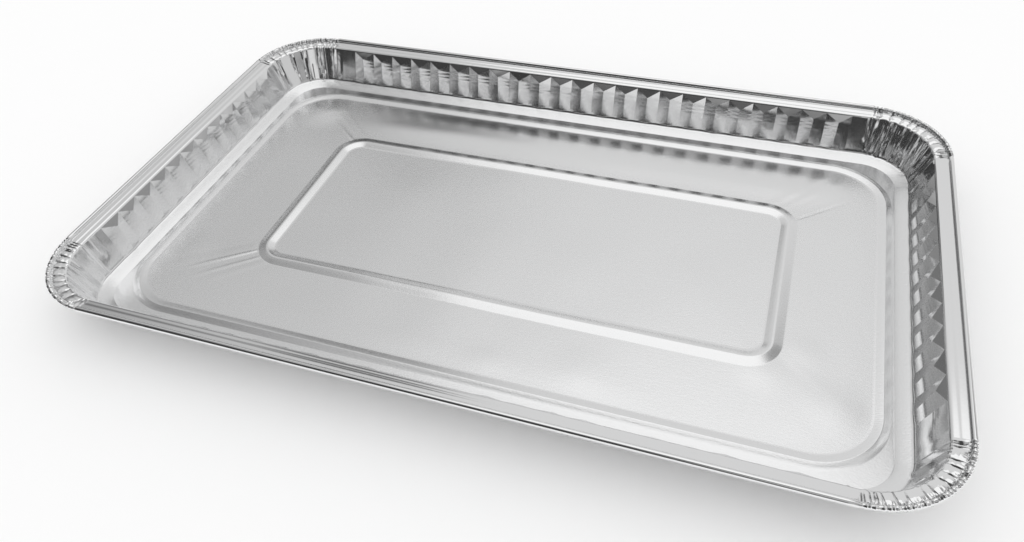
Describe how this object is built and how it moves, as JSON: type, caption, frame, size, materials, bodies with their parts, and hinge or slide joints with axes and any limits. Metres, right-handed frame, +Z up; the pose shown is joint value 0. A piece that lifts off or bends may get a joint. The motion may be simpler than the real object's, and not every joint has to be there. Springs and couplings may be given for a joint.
{
  "type": "foil cake pan",
  "caption": "Shallow rectangular foil pan with fluted leaning walls, rounded corners, a rolled rim, and a raised bead around the middle of its floor.",
  "frame": {"origin": "centre of the pan's outline, on the ground that its foot ring stands on", "axes": "+X along the long side, +Y along the short side, +Z up out of the open top"},
  "size_m": [0.45, 0.28, 0.027],
  "materials": {
    "foil": "bare rolled foil, satin on the floor and bright on the folds and the rolled rim"
  },
  "bodies": {
    "root": {"foil_pan": "foil"}
  },
  "joints": []
}
